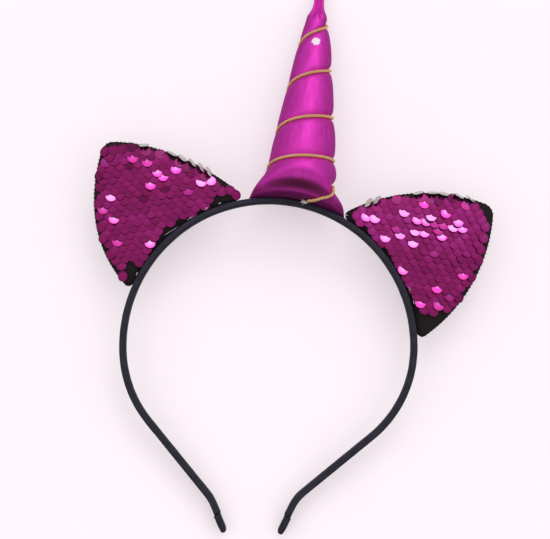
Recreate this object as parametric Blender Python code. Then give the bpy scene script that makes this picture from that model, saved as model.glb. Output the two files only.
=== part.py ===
"""Unicorn horn headband, lying on its back as it would on a table.

A ribbon-wrapped springy band with wrapped ends carries a stuffed horn wound with a gold cord
and two padded ears faced with overlapping sequins. Every piece is modelled in the band's own
plane: X to the right, Y from the loop's centre up to the horn, Z to the front of the head. At
the end the whole headband is tipped back until its horn and both band ends touch the surface.
"""

import math

import bmesh
import bpy
from mathutils import Matrix
from mathutils import Vector

MM = 0.001
GAP = 0.3 * MM  # between pieces that touch
SHARP_ANGLE = math.radians(40)  # edges steeper than this stay crisp

# Band: a flat strip bent to a crown arc, two tighter bends, straight legs and flared ends
CROWN_RADIUS = 68.8 * MM  # to the middle of the strip
BEND_RADIUS = 54.4 * MM
# Each side has sprung a little differently: degrees from the top of the crown to the tighter
# bend, direction of the straight leg, length of that leg, degrees that its end flares back
BAND_SIDES = {
    "left": (101.0, 136.3, 43.7 * MM, 16.0),
    "right": (84.5, 133.7, 41.2 * MM, 24.0),
}
FLARE_RADIUS = 20 * MM
END_LENGTH = 14 * MM  # straight stretch after the flare
ARC_STEP = 5.5  # degrees between sections on the arcs, at most
STRIP_WIDTH = 7.0 * MM  # front to back
STRIP_THICKNESS = 2.2 * MM
STRIP_CHAMFER = 0.5 * MM
OUTER_RADIUS = CROWN_RADIUS + STRIP_THICKNESS / 2

# Ribbon folded over each end of the strip
WRAP_LENGTH = 9 * MM
WRAP_WIDTH = 7.6 * MM
WRAP_THICKNESS = 3.0 * MM
WRAP_WALL = 0.6 * MM
WRAP_ROUNDING = 0.8 * MM
TONGUE_WIDTH = WRAP_WIDTH - 2 * (WRAP_WALL + GAP)
TONGUE_THICKNESS = WRAP_THICKNESS - 2 * (WRAP_WALL + GAP)
TONGUE_CHAMFER = 0.2 * MM

# Horn: measured along its own axis from the band outwards
HORN_PLACE = 5.3 * MM  # right of the band's middle
HORN_LEAN_BACK = math.radians(13.8)
HORN_LEAN_LEFT = math.radians(1.0)
FOOT_RISE = 9.8 * MM  # from the band to the horn's full girth
FOOT_HALF_WIDTH = 23.3 * MM
FOOT_HALF_DEPTH = 5.0 * MM
FOOT_BLEND = 13 * MM  # over which the foot's curve along the band dies out
FOOT_ROWS = 8
FOOT_CAP_SHARES = (0.33, 0.66)
HORN_SIDES = 20
HORN_ROW = 1.8 * MM
# Outer radius of the stuffed cloth: distance along the axis, radius
HORN_PROFILE = (
    (9.8, 17.2),
    (20.0, 15.5),
    (34.0, 13.9),
    (48.0, 12.0),
    (60.0, 10.4),
    (72.0, 8.8),
    (84.0, 6.8),
    (91.0, 5.4),
    (94.0, 4.6),
)
# Unstuffed neck past the gathering, closed by its last row: distance, radius
NECK_PROFILE = (
    (95.6, 3.7),
    (97.5, 2.9),
    (100.5, 2.3),
    (105.0, 2.1),
    (108.0, 2.2),
    (109.4, 1.8),
    (110.2, 1.0),
)

# Gold cord wound round the horn, pressed into a groove
CORD_DIAMETER = 1.4 * MM
CORD_LIFT = 0.5 * MM  # clear of the groove's floor, which is flat between the horn's sides
GROOVE_DEPTH = 1.2 * MM
GROOVE_WIDTH = 1.9 * MM
PINCH_DEPTH = 0.4 * MM
PINCH_WIDTH = 4.5 * MM
# Short moves along and around the horn, to find which way its surface faces
RISE_PROBE = 0.2 * MM
TURN_PROBE = 0.004
# Turns counted from the horn's front, towards its right side, and the distance along its axis
CORD_ROUTE = (
    (0.00, 2.4),
    (0.25, 9.0),
    (0.75, 14.2),
    (1.25, 21.0),
    (1.75, 32.5),
    (2.25, 42.7),
    (2.75, 55.2),
    (3.25, 66.8),
    (3.75, 77.4),
    (4.25, 88.4),
    (4.50, 92.2),
)

# Ears: a pointed arch standing on the band, in a frame whose +Y runs out through the ear's tip
# Degrees from the band's top, where the side arcs would meet, how far the middle bows right
EARS = {
    "left": (-46.0, 123.0 * MM, -2.0 * MM),
    "right": (51.2, 124.2 * MM, 0.2 * MM),
}
EAR_HALF_WIDTH = 34.1 * MM
EAR_SHOULDER = 65.5 * MM  # height of the widest place over the loop's centre
EAR_SIDE_RADIUS = 78 * MM
EAR_TIP_RADIUS = 6.0 * MM
EAR_CORNER_RADIUS = 2.5 * MM
EAR_MIDDLE = 90 * MM  # the point that the padding swells around
EAR_FRONT = 1.9 * MM  # flat front of the padding, over the band's middle plane
EAR_FRONT_FAN = 0.5  # share of the outline inside which the flat front is one fan
EAR_BASE_STEPS = 7  # straight pieces in half of the edge on the band
EAR_CORNER_STEPS = 3
EAR_SIDE_STEPS = 9
EAR_TIP_STEPS = 3
# Padding from back to front: share of the outline, height over the band's middle plane
EAR_LAYERS = (
    (0.40, -3.4),
    (0.72, -3.1),
    (0.90, -2.3),
    (0.98, -1.2),
    (1.00, -0.1),
    (0.985, 1.0),
    (0.95, 1.9),
)

# Sequins: staggered rows of round scales that overlap downwards
SEQUIN_PITCH = 4.3 * MM
ROW_PITCH = 2.7 * MM
ROW_ANGLES = {"left": 16.0, "right": -3.0}  # degrees that the rows rise to the right
SCALE_DROP = 1.3 * MM  # depth of a scale's rounded lower edge
ROW_TUCK = 0.5 * MM  # how far a row reaches under the one above
ROW_LIFT = 0.9 * MM  # lower edge over the backing
ROW_SUNK = 0.1 * MM  # upper edge over the backing
ROW_ROOTS = (0.3 * MM, 0.4 * MM)  # underside of odd and even rows, inside the backing
FIELD_BACKING = 0.6 * MM
FIELD_MARGIN = 0.955  # share of the ear's outline that the backing fills
SCALE_MARGIN = 0.93  # share of the ear's outline that the scales keep inside
FEWEST_SCALES = 2

# Search for the tip at which horn and band ends lie level
MOST_TIP = math.radians(15)
TIP_HALVINGS = 40


# Shapes in two dimensions


def circles_meet(centre_a, radius_a, centre_b, radius_b, side):
    """The point where two circles cross, on the left (1) or right (-1) of the line from a to b."""
    line = centre_b - centre_a
    apart = line.length
    along = (apart**2 + radius_a**2 - radius_b**2) / (2 * apart)
    out = math.sqrt(radius_a**2 - along**2)
    unit = line / apart
    return centre_a + unit * along + Vector((-unit.y, unit.x)) * out * side


def arc(centre, radius, start, end, steps):
    """Points on an arc from one angle to another, both in radians."""
    points = []
    for i in range(steps + 1):
        angle = start + (end - start) * i / steps
        points.append(centre + radius * Vector((math.cos(angle), math.sin(angle))))
    return points


def angle_from(centre, point):
    return math.atan2(point.y - centre.y, point.x - centre.x)


def ear_outline(ear_side):
    """The ear's outline, clockwise from the middle of the edge that sits on the band."""
    _, sharp_tip, bow = EARS[ear_side]
    middle = Vector((0.0, 0.0))
    base_radius = OUTER_RADIUS + GAP
    shoulder = Vector((EAR_HALF_WIDTH, EAR_SHOULDER))
    tip = Vector((0.0, sharp_tip))
    side = circles_meet(shoulder, EAR_SIDE_RADIUS, tip, EAR_SIDE_RADIUS, 1)
    inner = EAR_SIDE_RADIUS - EAR_CORNER_RADIUS
    corner = circles_meet(side, inner, middle, base_radius + EAR_CORNER_RADIUS, 1)
    rise = math.sqrt((EAR_SIDE_RADIUS - EAR_TIP_RADIUS) ** 2 - side.x**2)
    tip_centre = Vector((0.0, side.y + rise))
    base_end = angle_from(middle, corner)
    side_start = angle_from(side, corner)
    side_end = angle_from(side, tip_centre)
    half = arc(middle, base_radius, math.pi / 2, base_end, EAR_BASE_STEPS)
    corner_start = base_end - math.pi
    half += arc(corner, EAR_CORNER_RADIUS, corner_start, side_start, EAR_CORNER_STEPS)[1:]
    half += arc(side, EAR_SIDE_RADIUS, side_start, side_end, EAR_SIDE_STEPS)[1:]
    half += arc(tip_centre, EAR_TIP_RADIUS, side_end, math.pi / 2, EAR_TIP_STEPS)[1:]
    outline = half + [Vector((-p.x, p.y)) for p in half[1:-1]][::-1]
    for point in outline:
        rise = (point.y - EAR_SHOULDER) / (sharp_tip - EAR_SHOULDER)
        point.x += bow * math.sin(math.pi * max(0.0, rise))
    return outline


def shrunk(outline, share):
    """The outline drawn in towards the ear's middle."""
    centre = Vector((0.0, EAR_MIDDLE))
    return [centre + (point - centre) * share for point in outline]


def smooth_through(rows, x):
    """The second column at x, on a smooth curve through every row."""
    last = len(rows) - 1
    i = max(0, min(last - 1, sum(1 for row in rows if row[0] <= x) - 1))
    x0, y0 = rows[i]
    x1, y1 = rows[i + 1]
    span = x1 - x0
    chord = (y1 - y0) / span
    slope0 = chord
    slope1 = chord
    if i > 0:
        slope0 = (y1 - rows[i - 1][1]) / (x1 - rows[i - 1][0])
    if i + 1 < last:
        slope1 = (rows[i + 2][1] - y0) / (rows[i + 2][0] - x0)
    t = (x - x0) / span
    start = (2 * t**3 - 3 * t**2 + 1) * y0 + (t**3 - 2 * t**2 + t) * span * slope0
    return start + (3 * t**2 - 2 * t**3) * y1 + (t**3 - t**2) * span * slope1


def smooth_step(t):
    t = min(1.0, max(0.0, t))
    return t * t * (3 - 2 * t)


# Scene and materials


def clear_scene():
    for thing in list(bpy.data.objects):
        bpy.data.objects.remove(thing, do_unlink=True)


def new_collection(name):
    collection = bpy.data.collections.new(name)
    bpy.context.scene.collection.children.link(collection)
    return collection


def principled(name, colour, roughness, metallic=0.0):
    material = bpy.data.materials.new(name)
    material.use_nodes = True
    shader = material.node_tree.nodes["Principled BSDF"]
    shader.inputs["Base Color"].default_value = (*colour, 1.0)
    shader.inputs["Roughness"].default_value = roughness
    shader.inputs["Metallic"].default_value = metallic
    return material


def add_object(name, data, material, parent, collection):
    thing = bpy.data.objects.new(name, data)
    collection.objects.link(thing)
    thing.parent = parent
    data.materials.append(material)
    return thing


# Lofts


def add_loft(mesh, rings):
    """One closed body through rings of equal length, with a fan over each end ring."""
    loops = [[mesh.verts.new(point) for point in ring] for ring in rings]
    count = len(loops[0])
    for lower, upper in zip(loops, loops[1:]):
        for i in range(count):
            j = (i + 1) % count
            mesh.faces.new((lower[i], lower[j], upper[j], upper[i]))
    for loop in (loops[0][::-1], loops[-1]):
        centre = sum((vert.co for vert in loop), Vector()) / count
        hub = mesh.verts.new(centre)
        for i in range(count):
            mesh.faces.new((loop[i], loop[(i + 1) % count], hub))


def loft_mesh(name, lofts):
    """A mesh holding one closed body for each list of rings."""
    mesh = bmesh.new()
    for rings in lofts:
        add_loft(mesh, rings)
    bmesh.ops.recalc_face_normals(mesh, faces=mesh.faces)
    data = bpy.data.meshes.new(name)
    mesh.to_mesh(data)
    mesh.free()
    data.shade_smooth()
    data.set_sharp_from_angle(angle=SHARP_ANGLE)
    return data


# Band


def half_band(side):
    """Places down one half of the band, drawn on the right: point, direction in degrees."""
    crown, leg, leg_length, flare = BAND_SIDES[side]
    places = []
    steps = math.ceil(crown / ARC_STEP)
    for step in range(steps):
        turn = crown * step / steps
        places.append((CROWN_RADIUS * facing(turn), turn))
    shift = (CROWN_RADIUS - BEND_RADIUS) * facing(crown)
    steps = math.ceil((leg - crown) / ARC_STEP)
    for step in range(steps + 1):
        turn = crown + (leg - crown) * step / steps
        places.append((shift + BEND_RADIUS * facing(turn), turn))
    foot = places[-1][0] + leg_length * heading(leg)
    pivot = foot + FLARE_RADIUS * facing(leg)
    steps = math.ceil(flare / ARC_STEP)
    for step in range(steps + 1):
        turn = leg - flare * step / steps
        places.append((pivot - FLARE_RADIUS * facing(turn), turn))
    return places


def facing(degrees):
    """Unit vector from the loop's centre at an angle from its top."""
    turn = math.radians(degrees)
    return Vector((math.sin(turn), math.cos(turn)))


def heading(degrees):
    """Unit vector along the strip where it faces that angle."""
    turn = math.radians(degrees)
    return Vector((math.cos(turn), -math.sin(turn)))


def strip_ring(point, angle, width, thickness, chamfer):
    """A chamfered rectangle square to the strip, thickness across it and width along Z."""
    out = Vector((*facing(angle), 0.0))
    front = Vector((0.0, 0.0, 1.0))
    centre = Vector((point.x, point.y, 0.0))
    a = thickness / 2
    b = width / 2
    corners = (
        (a, b - chamfer),
        (a - chamfer, b),
        (chamfer - a, b),
        (-a, b - chamfer),
        (-a, chamfer - b),
        (chamfer - a, -b),
        (a - chamfer, -b),
        (a, chamfer - b),
    )
    return [centre + out * x + front * z for x, z in corners]


def mirrored(rings):
    return [[Vector((-p.x, p.y, p.z)) for p in ring] for ring in rings]


def half_band_rings(side):
    """The strip's sections down one half, with a thin tongue inside its wrapped end."""
    full = (STRIP_WIDTH, STRIP_THICKNESS, STRIP_CHAMFER)
    thin = (TONGUE_WIDTH, TONGUE_THICKNESS, TONGUE_CHAMFER)
    places = half_band(side)
    rings = [strip_ring(point, angle, *full) for point, angle in places]
    last, angle = places[-1]
    step = last + heading(angle) * (END_LENGTH - WRAP_LENGTH)
    tongue_end = last + heading(angle) * (END_LENGTH - WRAP_WALL - GAP)
    rings.append(strip_ring(step, angle, *full))
    rings.append(strip_ring(step, angle, *thin))
    rings.append(strip_ring(tongue_end, angle, *thin))
    return rings


def band_mesh():
    left = mirrored(half_band_rings("left")[1:])
    return loft_mesh("band", [left[::-1] + half_band_rings("right")])


def wrap_mesh(name, side):
    """A folded ribbon sleeve: closed at the band's end, open towards the loop."""
    last, angle = half_band(side)[-1]
    along = heading(angle)
    mouth = last + along * (END_LENGTH - WRAP_LENGTH + GAP)
    floor = last + along * (END_LENGTH - WRAP_WALL)
    shoulder = last + along * (END_LENGTH - WRAP_ROUNDING)
    tip = last + along * END_LENGTH
    hollow = (
        WRAP_WIDTH - 2 * WRAP_WALL,
        WRAP_THICKNESS - 2 * WRAP_WALL,
        TONGUE_CHAMFER,
    )
    outer = (WRAP_WIDTH, WRAP_THICKNESS, STRIP_CHAMFER)
    rounded = (
        WRAP_WIDTH - WRAP_ROUNDING,
        WRAP_THICKNESS - WRAP_ROUNDING,
        STRIP_CHAMFER,
    )
    rings = [
        strip_ring(floor, angle, *hollow),
        strip_ring(mouth, angle, *hollow),
        strip_ring(mouth, angle, *outer),
        strip_ring(shoulder, angle, *outer),
        strip_ring(tip, angle, *rounded),
    ]
    if side == "left":
        rings = mirrored(rings)
    return loft_mesh(name, [rings])


# Horn and cord


def groove(rise, turn):
    """How far the cord presses the cloth in, at a distance along the axis and a turn."""
    nearest = 1.0
    first = CORD_ROUTE[0][0]
    last = CORD_ROUTE[-1][0]
    for whole in range(math.ceil(last) + 1):
        wound = turn + whole
        if first <= wound <= last:
            away = abs(rise - MM * smooth_through(CORD_ROUTE, wound))
            nearest = min(nearest, away)
    pressed = GROOVE_DEPTH * math.exp(-((nearest / GROOVE_WIDTH) ** 2))
    pinched = PINCH_DEPTH * math.exp(-((nearest / PINCH_WIDTH) ** 2))
    return (pressed + pinched) * smooth_step(rise / FOOT_BLEND)


def horn_girth(rise):
    """Half width and half depth of the horn at a distance along its axis."""
    first, full = HORN_PROFILE[0]
    if rise >= first * MM:
        radius = MM * smooth_through(HORN_PROFILE, rise / MM)
        return radius, radius
    share = rise / FOOT_RISE
    width = FOOT_HALF_WIDTH + (full * MM - FOOT_HALF_WIDTH) * share
    swell = math.sqrt(1 - (1 - share) ** 2)
    depth = FOOT_HALF_DEPTH + (full * MM - FOOT_HALF_DEPTH) * swell
    return width, depth


def horn_place(rise, across, forward):
    """A point by its distance along the horn, to its right and to its front."""
    seat = OUTER_RADIUS + GAP
    start = math.asin(HORN_PLACE / seat)
    turn = start + across / seat
    bent = Vector(((seat + rise) * math.sin(turn), (seat + rise) * math.cos(turn), forward))
    lean = HORN_LEAN_BACK
    right = Vector((math.cos(HORN_LEAN_LEFT), math.sin(HORN_LEAN_LEFT), 0.0))
    axis = Vector((-math.sin(HORN_LEAN_LEFT), math.cos(lean), -math.sin(lean)))
    front = Vector((0.0, math.sin(lean), math.cos(lean)))
    base = Vector((HORN_PLACE, seat * math.cos(start), 0.0))
    free = base + axis * rise + right * across + front * forward
    return bent.lerp(free, smooth_step(rise / FOOT_BLEND))


def horn_surface(rise, turn, pressed=True):
    width, depth = horn_girth(rise)
    drop = groove(rise, turn) if pressed else 0.0
    angle = 2 * math.pi * turn
    across = (width - drop) * math.sin(angle)
    forward = (depth - drop) * math.cos(angle)
    return horn_place(rise, across, forward)


def horn_rings():
    turns = [i / HORN_SIDES for i in range(HORN_SIDES)]
    rings = []
    for share in FOOT_CAP_SHARES:
        ring = []
        for turn in turns:
            angle = 2 * math.pi * turn
            across = FOOT_HALF_WIDTH * share * math.sin(angle)
            ring.append(horn_place(0.0, across, FOOT_HALF_DEPTH * share * math.cos(angle)))
        rings.append(ring)
    rings.append([horn_surface(0.0, turn, False) for turn in turns])
    for row in range(1, FOOT_ROWS):
        share = 1 - math.cos(math.pi / 2 * row / FOOT_ROWS)
        rings.append([horn_surface(FOOT_RISE * share, turn) for turn in turns])
    start = HORN_PROFILE[0][0] * MM
    end = HORN_PROFILE[-1][0] * MM
    rows = round((end - start) / HORN_ROW)
    for row in range(rows + 1):
        rise = start + (end - start) * row / rows
        rings.append([horn_surface(rise, turn) for turn in turns])
    for rise, radius in NECK_PROFILE:
        ring = []
        for turn in turns:
            angle = 2 * math.pi * turn
            spot = radius * MM * Vector((math.sin(angle), math.cos(angle)))
            ring.append(horn_place(rise * MM, spot.x, spot.y))
        rings.append(ring)
    return rings


def cord_point(turn):
    """The cord's middle, lying in its groove just clear of the cloth."""
    rise = MM * smooth_through(CORD_ROUTE, turn)
    here = horn_surface(rise, turn, False)
    along = horn_surface(rise + RISE_PROBE, turn, False) - here
    around = horn_surface(rise, turn + TURN_PROBE, False) - here
    out = around.cross(along).normalized()
    sunk = (GROOVE_DEPTH + PINCH_DEPTH) * smooth_step(rise / FOOT_BLEND)
    return here + out * (CORD_LIFT + CORD_DIAMETER / 2 - sunk)


def cord_curve():
    """A round tube wound along the cord's route, with a point at each of the horn's sides."""
    first = CORD_ROUTE[0][0]
    last = CORD_ROUTE[-1][0]
    count = round((last - first) * HORN_SIDES)
    curve = bpy.data.curves.new("horn_cord", "CURVE")
    curve.dimensions = "3D"
    curve.bevel_depth = CORD_DIAMETER / 2
    curve.bevel_resolution = 2
    curve.use_fill_caps = True
    spline = curve.splines.new("POLY")
    spline.points.add(count)
    for i in range(count + 1):
        point = cord_point(first + (last - first) * i / count)
        spline.points[i].co = (*point, 1.0)
    return curve


# Ears and sequins


def ear_mesh(side):
    """The padded ear: a domed back, a soft rim and a flat front under the sequins."""
    outline = ear_outline(side)
    rings = []
    for share, height in EAR_LAYERS:
        rings.append([Vector((*p, height * MM)) for p in shrunk(outline, share)])
    rings.append([Vector((*p, EAR_FRONT)) for p in shrunk(outline, EAR_FRONT_FAN)])
    return loft_mesh(f"ear_{side}", [rings])


def row_frame(side):
    """The turn from the rows' own frame to the ear's frame."""
    turn = math.radians(ROW_ANGLES[side] + EARS[side][0])
    return Matrix.Rotation(turn, 2)


def crossings(outline, height):
    """Where a level line meets the outline, from left to right."""
    found = []
    for a, b in zip(outline, outline[1:] + outline[:1]):
        if (a.y - height) * (b.y - height) < 0:
            share = (height - a.y) / (b.y - a.y)
            found.append(a.x + (b.x - a.x) * share)
    return sorted(found)


def scale_runs(outline, height, offset):
    """Runs of whole scales that fit in the outline along one row: first and last place."""
    upper = crossings(outline, height)
    lower = crossings(outline, height - SCALE_DROP)
    runs = []
    if len(upper) != len(lower):
        return runs
    for k in range(0, len(upper), 2):
        left = max(upper[k], lower[k])
        right = min(upper[k + 1], lower[k + 1])
        first = math.ceil(left / SEQUIN_PITCH - offset)
        last = math.floor(right / SEQUIN_PITCH - offset)
        if last - first >= FEWEST_SCALES:
            runs.append((first, last))
    return runs


def row_rings(run, height, offset, root):
    """Sections along one row of scales, three steps to a scale."""
    rings = []
    first, last = run
    for step in range(3 * (last - first) + 1):
        place = first + offset + step / 3
        drop = 0.0 if step % 3 == 0 else SCALE_DROP
        x = place * SEQUIN_PITCH
        high = height + ROW_PITCH + ROW_TUCK
        low = height - drop
        slope = (ROW_LIFT - ROW_SUNK) / (ROW_PITCH + ROW_TUCK + SCALE_DROP)
        rings.append(
            [
                Vector((x, low, root)),
                Vector((x, low, FIELD_BACKING + ROW_SUNK + slope * (high - low))),
                Vector((x, high, FIELD_BACKING + ROW_SUNK)),
                Vector((x, high, root)),
            ]
        )
    return rings


def field_meshes(side):
    """Backing sheet, and the odd and the even rows of scales, in the ear's frame."""
    turn = row_frame(side)
    outline = ear_outline(side)
    backing = shrunk(outline, FIELD_MARGIN)
    level = [turn.inverted() @ point for point in shrunk(outline, SCALE_MARGIN)]
    top = max(point.y for point in level)
    bottom = min(point.y for point in level)
    rows = ([], [])
    for row in range(1, int((top - bottom) / ROW_PITCH) + 1):
        height = top - row * ROW_PITCH
        odd = row % 2
        for run in scale_runs(level, height, odd / 2):
            rings = row_rings(run, height, odd / 2, ROW_ROOTS[odd])
            turned = []
            for ring in rings:
                turned.append([Vector((*(turn @ p.xy), p.z)) for p in ring])
            rows[odd].append(turned)
    sheet = [[Vector((*p, z)) for p in backing] for z in (0.0, FIELD_BACKING)]
    name = f"ear_{side}_sequins"
    return (
        loft_mesh(name, [sheet]),
        loft_mesh(f"{name}_even_rows", rows[0]),
        loft_mesh(f"{name}_odd_rows", rows[1]),
    )


def add_field(side, material, parent, collection, cutters):
    """The sequin field on one ear, its rows joined to their backing."""
    name = f"ear_{side}_sequins"
    sheet, even, odd = field_meshes(side)
    field = add_object(name, sheet, material, parent, collection)
    field.location.z = EAR_FRONT + GAP
    for label, data in (("even", even), ("odd", odd)):
        rows = add_object(f"{name}_{label}_rows", data, material, field, cutters)
        rows.display_type = "WIRE"
        rows.hide_render = True
        union = field.modifiers.new(f"join_{label}_rows", "BOOLEAN")
        union.operation = "UNION"
        union.solver = "EXACT"
        union.object = rows


# Resting place


def corners_of(things):
    """Every vertex of the finished objects, in the world."""
    graph = bpy.context.evaluated_depsgraph_get()
    points = []
    for thing in things:
        shown = thing.evaluated_get(graph)
        data = shown.to_mesh()
        points += [shown.matrix_world @ vert.co for vert in data.vertices]
        shown.to_mesh_clear()
    return points


def lay_down(plane, horn_side, band_ends, everything):
    """Tips the headband back until horn and band ends lie level, then centres it on the origin."""
    horn_points = corners_of(horn_side)
    end_points = corners_of(band_ends)
    low, high = 0.0, MOST_TIP
    for _ in range(TIP_HALVINGS):
        tip = (low + high) / 2
        turn = Matrix.Rotation(tip, 3, "X")
        horn_low = min((turn @ point).z for point in horn_points)
        end_low = min((turn @ point).z for point in end_points)
        if horn_low < end_low:
            low = tip
        else:
            high = tip
    plane.rotation_euler.x = (low + high) / 2
    bpy.context.view_layer.update()
    points = corners_of(everything)
    least = [min(point[i] for point in points) for i in range(3)]
    most = [max(point[i] for point in points) for i in range(3)]
    plane.location = (
        -(least[0] + most[0]) / 2,
        -(least[1] + most[1]) / 2,
        -least[2],
    )
    bpy.context.view_layer.update()


def main():
    clear_scene()
    headband = new_collection("unicorn_horn_headband")
    cutters = new_collection("row_guides")
    plane = bpy.data.objects.new("band_plane", None)
    headband.objects.link(plane)
    ribbon = principled("navy_ribbon", (0.028, 0.024, 0.038), 0.55)
    ribbon_end = principled("navy_ribbon_end", (0.024, 0.021, 0.034), 0.6)
    cloth = principled("magenta_lame", (0.58, 0.03, 0.36), 0.38, 0.35)
    gold = principled("gold_cord", (0.86, 0.55, 0.25), 0.35, 0.8)
    knit = principled("black_knit", (0.017, 0.013, 0.016), 0.85)
    sequin = principled("magenta_sequins", (0.3, 0.016, 0.13), 0.25, 0.5)
    band = add_object("band", band_mesh(), ribbon, plane, headband)
    ends = []
    for side in ("left", "right"):
        name = f"end_wrap_{side}"
        ends.append(add_object(name, wrap_mesh(name, side), ribbon_end, plane, headband))
    horn_data = loft_mesh("horn", [horn_rings()])
    horn = add_object("horn", horn_data, cloth, plane, headband)
    cord = add_object("horn_cord", cord_curve(), gold, plane, headband)
    for side, (angle, _, _) in EARS.items():
        ear = add_object(f"ear_{side}", ear_mesh(side), knit, plane, headband)
        ear.rotation_euler.z = -math.radians(angle)
        add_field(side, sequin, ear, headband, cutters)
    bpy.context.view_layer.update()
    solids = [thing for thing in headband.objects if thing.type != "EMPTY"]
    lay_down(plane, [horn, cord], [band, *ends], solids)


main()
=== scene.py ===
"""Looks of the unicorn horn headband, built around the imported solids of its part.

Pieces are modelled in the band's own plane, as in the part's source: X to the right, Y from the
loop's centre up to the horn, Z to the front. The plane is found from the band's own solid.
"""

import random
from math import asin, atan2, ceil, copysign, cos, exp, hypot, pi, radians, remainder, sin, sqrt, tan

import bmesh
import bpy
import numpy as np
from mathutils import Matrix, Vector, noise


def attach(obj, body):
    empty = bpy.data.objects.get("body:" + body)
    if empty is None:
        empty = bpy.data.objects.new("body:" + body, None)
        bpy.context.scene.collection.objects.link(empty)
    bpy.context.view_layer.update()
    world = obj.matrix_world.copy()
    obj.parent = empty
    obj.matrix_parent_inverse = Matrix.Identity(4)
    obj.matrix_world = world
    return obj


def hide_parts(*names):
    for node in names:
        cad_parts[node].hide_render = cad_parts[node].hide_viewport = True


MM = 0.001
GAP = 0.3 * MM  # between pieces that are glued together
UP = Vector((0.0, 0.0, 1.0))

# Camera: seen from straight above but for a small tilt, and turned a little
CAMERA_TARGET = Vector((-4.79, -9.0, 16.84)) * MM
CAMERA_TILT = radians(7.0)
CAMERA_ROLL = radians(7.2)
CAMERA_DISTANCE = 700 * MM
CAMERA_LENS = 97.5
SENSOR_WIDTH = 36.0

# Key light: tilt from straight above towards the horn's tip, and towards the right
KEY_TILT = radians(49)
KEY_RIGHT = radians(6)
KEY_STRENGTH = 0.42
KEY_SPREAD = 24  # degrees
FILL_STRENGTH = 1.95
FILL_SPREAD = 150

# Sky, by the Y and Z of its directions: the strength between two values of Y, times the share
# between two values of Z
SKY_Y = (-0.85, -0.15)
SKY_STRENGTH = (0.08, 0.5)
SKY_Z = (0.0, 0.75)
SKY_SHARE = (0.42, 1.2)
SKY_COLOUR = (1.0, 0.98, 1.0, 1.0)
FLOOR_HALF_SIZE = 3.0
FLOOR_COLOURS = ((0.3, (0.495, 0.47, 0.485)), (0.7, (0.505, 0.48, 0.495)))
FLOOR_GLOW = (0.45, 0.395, 0.425, 1.0)

# Band: its route and strip as in the part's source
CROWN_RADIUS = 68.8 * MM
BEND_RADIUS = 54.4 * MM
# Degrees to the tighter bend, direction of the straight leg, its length, degrees of flare
BAND_SIDES = {
    "left": (101.0, 136.3, 43.7 * MM, 16.0),
    "right": (84.5, 133.7, 41.2 * MM, 24.0),
}
FLARE_RADIUS = 20 * MM
END_LENGTH = 14 * MM
STRIP_WIDTH = 7.0 * MM
STRIP_THICKNESS = 2.2 * MM
OUTER_RADIUS = CROWN_RADIUS + STRIP_THICKNESS / 2
SEAT_RADIUS = OUTER_RADIUS + GAP  # of what sits on the band
WRAP_LENGTH = 9 * MM
WRAP_WIDTH = 7.6 * MM
WRAP_THICKNESS = 3.0 * MM
BAND_STEP = 1.5 * MM  # between sections
BAND_AROUND = 36  # points round a section
STRIP_ROUNDING = 0.8 * MM
LAP_STEP = 0.16 * MM  # where the ribbon laps over itself on the inner face
CREASE_DEPTH = 0.18 * MM
RIBBON_SWELL = 0.7 * MM  # that the ribbon adds on the inner face
LAP_HEIGHT = 0.6 * MM  # of the lap's edge in front of the band's plane
LAP_WANDER = 0.3 * MM
SIDE_CREASE = (2.3 * MM, 0.25 * MM)  # on the outer face: height and width
FRONT_CREASE = (-0.1 * MM, 0.22 * MM)  # on the front edge: distance out from its middle, and width
RIBBON_LUMP = 0.07 * MM
RIBBON_LUMP_SIZE = 3.5 * MM
RIBBON_SEED = 3.0
# The ribbon over an end, from its mouth: millimetres along, shares of thickness and of width
WRAP_ROWS = (
    (0.0, 0.72, 0.84), (0.0, 0.95, 0.97), (0.25, 1.04, 1.01), (0.7, 1.05, 1.01), (1.1, 0.97, 0.985),
    (2.4, 1.0, 1.0), (4.0, 1.03, 1.0), (5.6, 1.0, 0.99), (6.8, 0.98, 0.98), (7.4, 0.94, 0.97),
    (8.1, 0.8, 0.92), (8.55, 0.5, 0.84), (8.7, 0.2, 0.6),
)
WRAP_AROUND = 40
WRAP_LUMP = 0.08  # share of the thickness
WRAP_CREASE = 0.1
WRAP_SEEDS = {"left": 5.0, "right": 8.0}

# Horn: its shape as in the part's source
HORN_PLACE = 5.3 * MM
HORN_LEAN_BACK = radians(13.8)
HORN_LEAN_LEFT = radians(1.0)
FOOT_RISE = 9.8 * MM
FOOT_HALF_WIDTH = 23.3 * MM
FOOT_HALF_DEPTH = 5.0 * MM
FOOT_BLEND = 13 * MM
# Millimetres along the horn, and its radius there
HORN_PROFILE = (
    (9.8, 17.2), (20.0, 15.5), (34.0, 13.9), (48.0, 12.0), (60.0, 10.4), (72.0, 8.8), (84.0, 6.8),
    (91.0, 5.4), (94.0, 4.6), (95.6, 3.7), (97.5, 2.9), (100.5, 2.3), (105.0, 2.1), (108.0, 2.2),
    (109.4, 1.8), (110.2, 1.0),
)
HORN_AROUND = 120
HORN_ROW = 0.7 * MM
FOOT_ROWS = 16
CORD_DIAMETER = 1.4 * MM
CORD_LIFT = 0.35 * MM
GROOVE_DEPTH = 1.2 * MM
GROOVE_WIDTH = 1.7 * MM
PINCH_DEPTH = 0.45 * MM
PINCH_WIDTH = 4.5 * MM
BULGE = 0.05 * MM  # between two turns of the cord, and what the right side has more
BULGE_RIGHT = 0.35 * MM
WIDEST_WIND = 30 * MM  # no bulge where the cord's turns lie further apart
# The cord's turns round the horn from its front, and millimetres along the horn
CORD_ROUTE = (
    (0.03, 0.6), (0.25, 9.0), (0.75, 14.2), (1.25, 21.0), (1.75, 32.5), (2.25, 42.7), (2.75, 55.2),
    (3.25, 66.8), (3.75, 78.2), (4.25, 89.9), (4.50, 93.4),
)
CORD_SAMPLES = 900
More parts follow.
